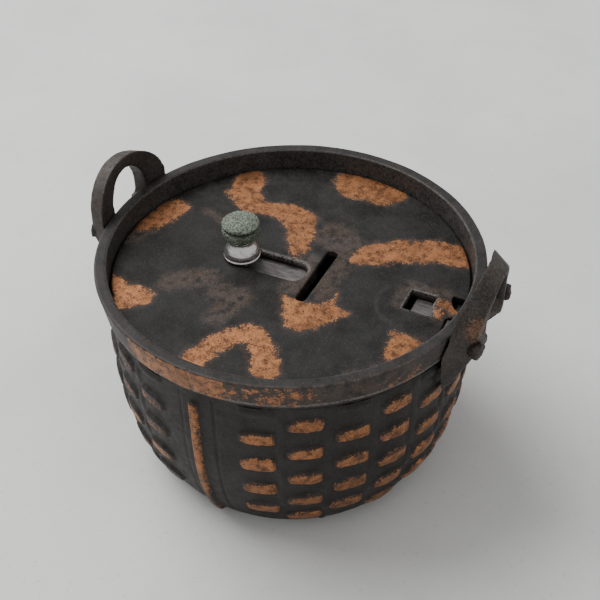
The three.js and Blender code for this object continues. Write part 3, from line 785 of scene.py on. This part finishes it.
def lid_copper(x, y):
    """Millimetres inside the nearest bare copper patch of the lid."""
    patches = [
        stroke(x, y, [(-26.5, 31, 3.4), (-25.3, 24.5, 4.5), (-21, 19.5, 3.7), (-16, 19.6, 2.5),
                      (-11, 20.6, 3.4), (-6, 18.3, 4.4), (-3.4, 13, 3.5), (-1, 7, 2.3)]),
        stroke(x, y, [(1.8, 40.5, 7.2), (8, 40.5, 7.2)]),
        stroke(x, y, [(39, 21.5, 4.3), (30, 20.6, 4.3), (22, 17, 4.6), (17, 13.2, 4.3),
                      (13.5, 9, 1.7)]),
        stroke(x, y, [(-38.8, 9.2, 4.1), (-40, 3.2, 3.6), (-42.6, -2, 1.3)]),
        patch(x, y, [(-39, -20), (-33, -22), (-29, -21.6), (-25.3, -22.6), (-24.6, -26),
                     (-27.5, -29), (-31, -32)]),
        stroke(x, y, [(-6.3, -41, 3.0), (-3.2, -31.5, 2.8), (0.6, -26, 2.7), (4, -26.2, 2.6),
                      (8, -31, 3.1), (11, -35.8, 3.3)]),
        patch(x, y, [(2.2, -9.6), (5, -15.5), (8, -20.6), (11.4, -21), (15.4, -16.6), (19.6, -10),
                     (16.2, -8.6), (14.4, -4.6), (12.6, -9.2), (9, -11)]),
        patch(x, y, [(30.8, -11.6), (39.6, -11.8), (38, -17.2), (34, -22.4), (32.6, -20), (32, -16)]),
        stroke(x, y, [(39.2, 2.2, 1.7), (41.8, 0.8, 1.2)]),
        stroke(x, y, [(38.4, -0.6, 1.0), (38.9, -2.4, 1.0)]),
    ]
    return np.maximum.reduce(patches)


def lid_patina(x, y):
    """Brown and plum stains of the japan, 0 to 1."""
    stains = [
        stroke(x, y, [(5, 16, 5.5), (10, 12, 5)]),
        stroke(x, y, [(3, 4, 3), (4, -7, 3.5)]),
        stroke(x, y, [(11, 6, 2.5), (11, -6, 2.5)]),
        stroke(x, y, [(-24, -17, 3.5), (-17, -12, 3.5)]),
        stroke(x, y, [(-11, -16, 3.6), (-6, -15, 3.2), (-8, -24, 3)]),
        stroke(x, y, [(-30, 12, 1.5), (-20, 8, 1)]),
        stroke(x, y, [(29, 5.6, 1.6), (38, 6.2, 1.6)]),
        stroke(x, y, [(28.6, 4, 1.2), (28.9, -2, 1.2)]),
        stroke(x, y, [(-40, 3, 4), (-43, -6, 3)]),
        stroke(x, y, [(28, -30, 3), (38, -20, 3)]) - 1,
    ]
    return 0.08 + 0.92 * smooth(-1.5, 1.6, np.maximum.reduce(stains))


def in_metal(x, y, loops):
    """True inside the first loop and outside the others, which are holes."""
    keep = inside_loop(x, y, loops[0])
    for hole in loops[1:]:
        keep &= ~inside_loop(x, y, hole)
    return keep


def triangles_between(loops, extra):
    """Triangulates the metal between an outline and its holes, with extra points inside it."""
    edges, start = [], 0
    for loop in loops:
        count = len(loop)
        edges += [(start + i, start + (i + 1) % count) for i in range(count)]
        start += count
    points = [Vector(p) for p in np.vstack([*loops, extra]).tolist()]
    found = delaunay_2d_cdt(points, edges, [], 0, 1e-7)
    coordinates = np.array([tuple(p) for p in found[0]])
    triangles = np.array(found[2])
    keep = in_metal(*coordinates[triangles].mean(1).T, loops)
    return coordinates, triangles[keep].tolist()


def interior_points(loops, step, clearance):
    """A honeycomb of points inside the metal, kept clear of its edges."""
    low, high = loops[0].min(0), loops[0].max(0)
    xs = np.arange(low[0], high[0], step)
    ys = np.arange(low[1], high[1], step * math.sqrt(3) / 2)
    x, y = np.meshgrid(xs, ys)
    x = x + (np.arange(len(ys)) % 2)[:, None] * step / 2
    points = np.stack([x.ravel(), y.ravel()], 1)
    points = points[in_metal(*points.T, loops)]
    gap = np.full(len(points), np.inf)
    for x, y in np.vstack(loops):
        gap = np.minimum(gap, np.hypot(points[:, 0] - x, points[:, 1] - y))
    return points[gap > clearance]


def edge_rounding(loop, width, depth):
    """Rings that carry a flat face over a rounded edge, each with how far down it lies."""
    angles = np.radians([0, 25, 50, 72, 90])
    steps = inward(loop)
    return [
        (loop + steps * (width * (1 - math.sin(a)))[:, None], depth * (1 - math.cos(a)))
        for a in angles
    ]


def slot_chamfer(loop):
    """Width and depth of the knob slot's edge, rubbed away along its back."""
    back = smooth(-2.5, 1.5, loop[:, 1])
    return 0.3 + 0.65 * back, 0.3 + 0.25 * back


def plain_edge(loop, width):
    return np.full(len(loop), width), np.full(len(loop), 0.3)


def lid_wear(points, slot_loop, hole_loop):
    """Rubbed metal along the back of the knob slot and round the window, 0 to 1."""
    x, y = points[:, 0], points[:, 1]
    on_top = points[:, 2] > LID_TOP - 1.1
    slot = outside(x, y, slot_loop)
    back = smooth(-3.0, 1.0, y) * on_top
    slot_wear = 0.9 * back * smooth(0.8, 0.4, slot) * smooth(-0.3, 0.1, slot)
    window = outside(x, y, hole_loop)
    window_wear = 0.8 * smooth(0.5, 0.2, window) * smooth(-0.3, 0.0, window) * on_top
    return np.maximum(np.maximum(slot_wear, window_wear), 0.0)


def outside(x, y, loop):
    """How far outside a loop a place lies, judged from every third of its points."""
    return -patch(x, y, [tuple(p) for p in loop[::3].tolist()])


def lid():
    outline, coin_slot, knob_slot, window = (
        lid_outline(), coin_slot_loop(), knob_slot_loop(), window_loop(),
    )
    loops = [outline, coin_slot, knob_slot, window]
    rounded = [
        edge_rounding(outline, *plain_edge(outline, 0.35)),
        edge_rounding(coin_slot, *plain_edge(coin_slot, 0.3)),
        edge_rounding(knob_slot, *slot_chamfer(knob_slot)),
        edge_rounding(window, *plain_edge(window, 0.4)),
    ]
    top_loops = [rings[0][0] for rings in rounded]
    inner_points = interior_points(top_loops, GRID_STEP, 0.42)
    coordinates, faces = triangles_between(top_loops, inner_points)
    height = lid_height(*coordinates.T)
    vertices = [np.column_stack([coordinates, height])]
    total, start = len(coordinates), 0
    under_loops, under_index = [], []
    for loop, rings in zip(loops, rounded):
        count = len(loop)
        above = np.arange(start, start + count)
        level = height[start:start + count]
        under_loop = loop + inward(loop) * 0.2
        levels = [(ring, level - drop) for ring, drop in rings[1:]]
        levels.append((loop, np.full(count, LID_UNDER + 0.2)))
        levels.append((under_loop, np.full(count, LID_UNDER)))
        for ring, z in levels:
            vertices.append(np.column_stack([ring, z]))
            below = np.arange(total, total + count)
            total += count
            quads = np.stack([above, np.roll(above, -1), np.roll(below, -1), below], 1)
            faces += quads[:, ::-1].tolist()
            above = below
        under_loops.append(under_loop)
        under_index.append(above)
        start += count
    inner_points = interior_points(under_loops, 6.0, 1.5)
    under, under_faces = triangles_between(under_loops, inner_points)
    shared = sum(len(index) for index in under_index)
    fresh = np.arange(total, total + len(under) - shared)
    renumber = np.concatenate([*under_index, fresh])
    vertices.append(np.column_stack([under[shared:], np.full(len(fresh), LID_UNDER)]))
    faces += [tuple(renumber[list(face)][::-1].tolist()) for face in under_faces]

    points = np.vstack(vertices)
    x, y = points[:, 0], points[:, 1]
    copper = lid_copper(x, y) + 0.7 * grain(points, 3.2, 3, 7.0) + 0.3 * grain(points, 0.9, 2, 8.0)
    copper = np.where(points[:, 2] < LID_TOP - 1.2, PLAIN, copper)
    worn = lid_wear(points, knob_slot, window)
    return add_piece("lid_casting", points, faces, copper=copper, patina=lid_patina(x, y), worn=worn)


def screw_boss(name, x, y):
    path = [(1.35, 50.6), (1.35, 48.4), (1.55, 48.3), (2.8, 48.3), (3.0, 48.5), (3.0, 50.2),
            (3.3, 50.6)]
    return lathe(name, through([*path, path[0]], 0.35), 40, (x, y), 0.04, 1.5, 2.0)


# ---------------------------------------------------------------- knob


def knob_skirt():
    foot = SKIRT_LOW[2]
    wide = (SKIRT_HIGH[0] - SKIRT_LOW[0]) / 2
    bore = 2.45
    shape = [
        (bore, 0.0), (wide - 0.35, 0.0), (wide - 0.06, 0.12), (wide, 0.35), (wide - 0.05, 0.55),
        (wide - 0.26, 0.72), (wide - 0.22, 1.0), (wide - 0.24, 1.5), (wide - 0.42, 2.1),
        (wide - 0.78, 2.75), (wide - 1.25, 3.35), (wide - 1.66, 3.9), (wide - 1.86, 4.4),
        (wide - 1.84, 4.75), (wide - 1.95, 4.88), (bore, 4.88),
    ]
    path = [(r, foot + z) for r, z in shape]
    ring = through([*path, path[0]], 0.16)
    return lathe("knob_skirt_turned", ring, 128, (KNOB_X, LOCK_Y), 0.02, 1.2, 4.0)


def knob_head():
    foot, top = HEAD_LOW[2], HEAD_HIGH[2]
    wide = (HEAD_HIGH[0] - HEAD_LOW[0]) / 2
    shape = [
        (2.6, 0.0), (2.85, 0.06), (3.35, 0.3), (4.0, 0.62), (4.5, 1.02), (wide - 0.06, 1.6), (wide, 2.3),
        (wide, 3.0), (wide - 0.14, 3.36), (wide - 0.5, 3.56), (wide - 0.62, 3.68), (wide - 0.5, 3.8),
        (wide - 0.12, 4.02), (wide, 4.32), (wide - 0.04, 4.7), (wide - 0.32, 5.08), (wide - 0.95, 5.42),
        (wide - 1.9, 5.74), (wide - 3.2, 5.98),
    ]
    crown = [(r, foot + z) for r, z in shape]
    path = [(0, foot + 4.2), (1.8, foot + 4.2), (1.8, foot), *crown, (0.35, top), (0, top)]
    dense = path_with(through(path, 0.14), [path[-1]])
    return lathe("knob_head_crusted", dense, 144, (KNOB_X, LOCK_Y), 0.24, 0.8, 6.0)


# ---------------------------------------------------------------- rivets

RIVET_HEIGHT = RIM_TOP - 4.6
RIVET_TIP = 45.6


def rivet_lump(node, seed):
    """A beaten rivet along its CAD node's axis, flared under its head to fill the worn seat."""
    low, high = box_mm(node)
    middle = (low + high) / 2
    bearing = math.atan2(middle[1], middle[0])
    top = 53.6 if middle[0] > 0 else 53.0
    shape = [
        (0, RIVET_TIP), (1.2, RIVET_TIP), (1.25, 50.0), (1.75, 51.2), (2.2, 52.0), (2.28, 52.5),
        (2.1, top - 0.35), (1.6, top - 0.1), (0.8, top), (0, top),
    ]
    dense = path_with(through(shape, 0.2), [shape[-1]])
    name = node.replace("handle_rivet", "beaten_rivet")
    lump = lathe(name, dense, 56, (0, 0), 0.5, 1.8, seed)
    turn = Matrix.Rotation(bearing, 4, "Z") @ Matrix.Rotation(math.pi / 2, 4, "Y")
    lump.data.transform(Matrix.Translation((0, 0, RIVET_HEIGHT * MM)) @ turn)
    return lump


# ---------------------------------------------------------------- carried-over CAD nodes


def cast_over(node, voxel, soften, dent, size):
    """Softens a CAD casting's edges and gives its faces a sand-cast unevenness."""
    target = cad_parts[node]
    remesh = target.modifiers.new("fine_mesh", "REMESH")
    remesh.mode, remesh.voxel_size, remesh.use_smooth_shade = "VOXEL", voxel * MM, True
    soft = target.modifiers.new("soft_edges", "SMOOTH")
    soft.factor, soft.iterations = 0.5, soften
    clouds = bpy.data.textures.new(f"{node}_sand", "CLOUDS")
    clouds.noise_scale, clouds.noise_depth = size * MM, 3
    displace = target.modifiers.new("sand_marks", "DISPLACE")
    displace.texture, displace.texture_coords = clouds, "LOCAL"
    displace.strength, displace.mid_level = dent * MM, 1.0
    return target


def eased(node, width):
    """Breaks the sharp edges of a CAD node."""
    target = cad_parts[node]
    bevel = target.modifiers.new("broken_edges", "BEVEL")
    bevel.width, bevel.segments, bevel.limit_method = width * MM, 3, "ANGLE"
    bevel.angle_limit = math.radians(40)
    target.modifiers.new("flat_faces", "WEIGHTED_NORMAL")
    for polygon in target.data.polygons:
        polygon.use_smooth = True
    return target


def paint(piece, material):
    piece.data.materials.clear()
    piece.data.materials.append(material)


# ---------------------------------------------------------------- the object

RIVETS = ("left_back", "left_front", "right_back", "right_front")
KEEPERS = ("bolt_keeper_left", "bolt_keeper_right", "catch_keeper")
BOSSES = ((-18.0, 10.0), (0.5, 10.0), (33.5, 8.6))  # each strap's x, and how far out its screws are


def build():
    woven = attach(basket(), "basket")
    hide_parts("basket_shell")
    paint(woven, japanned("basket_japan", 0.24))

    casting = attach(lid(), "lid")
    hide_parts("lid_plate")
    paint(casting, japanned("lid_japan", 0.16))
    boss_iron = bare_steel("boss_iron", (0.06, 0.058, 0.056), (0.02, 0.02, 0.02), 9.0)
    for x, spread in BOSSES:
        for side, label in ((1, "back"), (-1, "front")):
            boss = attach(screw_boss(f"boss_{label}_at_{x:.0f}", x, side * spread), "lid")
            paint(boss, boss_iron)

    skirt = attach(knob_skirt(), "bolt")
    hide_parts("knob_skirt")
    paint(skirt, nickel())
    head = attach(knob_head(), "bolt")
    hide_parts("knob_head")
    paint(head, verdigris())

    right = handle_iron("handle_right_iron", [(50.3, -10.5, 59.3, 8), (51.5, -12.5, 56.5, 6)])
    left = handle_iron("handle_left_iron", [(-50, 12, 50, 4)])
    paint(cast_over("handle_right", 0.3, 16, 0.16, 2.2), right)
    paint(cast_over("handle_left", 0.3, 10, 0.16, 2.2), left)
    rivet = handle_iron("rivet_iron", [(52, -10.5, 52.4, 3)])
    for seed, name in enumerate(RIVETS):
        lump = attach(rivet_lump(f"handle_rivet_{name}", float(seed)), "basket")
        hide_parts(f"handle_rivet_{name}")
        paint(lump, rivet)

    plate = bare_steel("plate_steel", (0.2, 0.188, 0.182), (0.1, 0.094, 0.092), 1.0)
    strap = bare_steel("strap_steel", (0.27, 0.26, 0.25), (0.12, 0.11, 0.105), 2.0)
    screw = bare_steel("screw_steel", (0.36, 0.34, 0.3), (0.16, 0.14, 0.12), 3.0)
    paint(eased("lock_bolt", 0.15), plate)
    paint(eased("catch_plate", 0.15), plate)
    paint(eased("knob_stem", 0.12), screw)
    for name in KEEPERS:
        paint(eased(name, 0.15), strap)
        for side in ("back", "front"):
            paint(eased(f"{name}_screw_{side}", 0.12), screw)


# ---------------------------------------------------------------- floor, light and camera


def paper():
    f = Finish("pale_paper", Roughness=0.9)
    cloud = f.noise(60.0, 6.0, 0.6, 1.0)
    tooth = f.noise(1.4, 3.0, 0.6, 2.0)
    colour = f.blend(f.band(cloud, 0.3, 0.7), (0.63, 0.632, 0.622), (0.72, 0.722, 0.708))
    f.wire(Base_Color=f.blend(f.band(tooth, 0.42, 0.25, 0.0, 0.35), colour, (0.45, 0.44, 0.42)))
    f.wire(Normal=f.bump(tooth, 0.12, 0.4))
    return f.material


def floor():
    half = 9000.0
    steps = 24
    xs = np.linspace(-half, half, steps + 1)
    x, y = np.meshgrid(xs, xs)
    points = np.stack([x.ravel(), y.ravel(), np.zeros(x.size)], 1)
    index = np.arange(x.size).reshape(x.shape)
    quads = np.stack([index[:-1, :-1], index[:-1, 1:], index[1:, 1:], index[1:, :-1]], -1)
    sheet = add_piece("floor", points, quads.reshape(-1, 4).tolist())
    sheet.data.materials.append(paper())


def soft_light(name, place, aim, size, power):
    data = bpy.data.lights.new(name, "AREA")
    data.shape, data.size, data.energy = "DISK", size, power
    lamp = bpy.data.objects.new(name, data)
    bpy.context.scene.collection.objects.link(lamp)
    facing = (Vector(aim) - Vector(place)).to_track_quat("-Z", "Y").to_matrix().to_4x4()
    lamp.matrix_world = Matrix.Translation(place) @ facing


def surroundings():
    """An even white room."""
    world = bpy.data.worlds.new("studio")
    bpy.context.scene.world = world
    world.use_nodes = True
    room = world.node_tree.nodes["Background"].inputs
    room["Color"].default_value = (1.0, 1.0, 1.0, 1.0)
    room["Strength"].default_value = 0.66


EYE = Vector((92.72, -189.43, 221.25)) * MM
AZIMUTH, ELEVATION, ROLL = math.radians(25.5), math.radians(40.39), math.radians(0.57)


def camera():
    back = Vector((
        math.sin(AZIMUTH) * math.cos(ELEVATION),
        -math.cos(AZIMUTH) * math.cos(ELEVATION),
        math.sin(ELEVATION),
    ))
    level = Vector((math.cos(AZIMUTH), math.sin(AZIMUTH), 0))
    upright = back.cross(level)
    right = level * math.cos(ROLL) - upright * math.sin(ROLL)
    up = level * math.sin(ROLL) + upright * math.cos(ROLL)
    data = bpy.data.cameras.new("camera")
    data.lens, data.sensor_width = 66, 36
    eye = bpy.data.objects.new("camera", data)
    bpy.context.scene.collection.objects.link(eye)
    eye.matrix_world = Matrix.Translation(EYE) @ Matrix((right, up, back)).transposed().to_4x4()
    bpy.context.scene.camera = eye


build()
floor()
soft_light("window_light", (-0.6, 0.1, 0.85), (0.0, 0.0, 0.03), 0.9, 13.0)
surroundings()
camera()
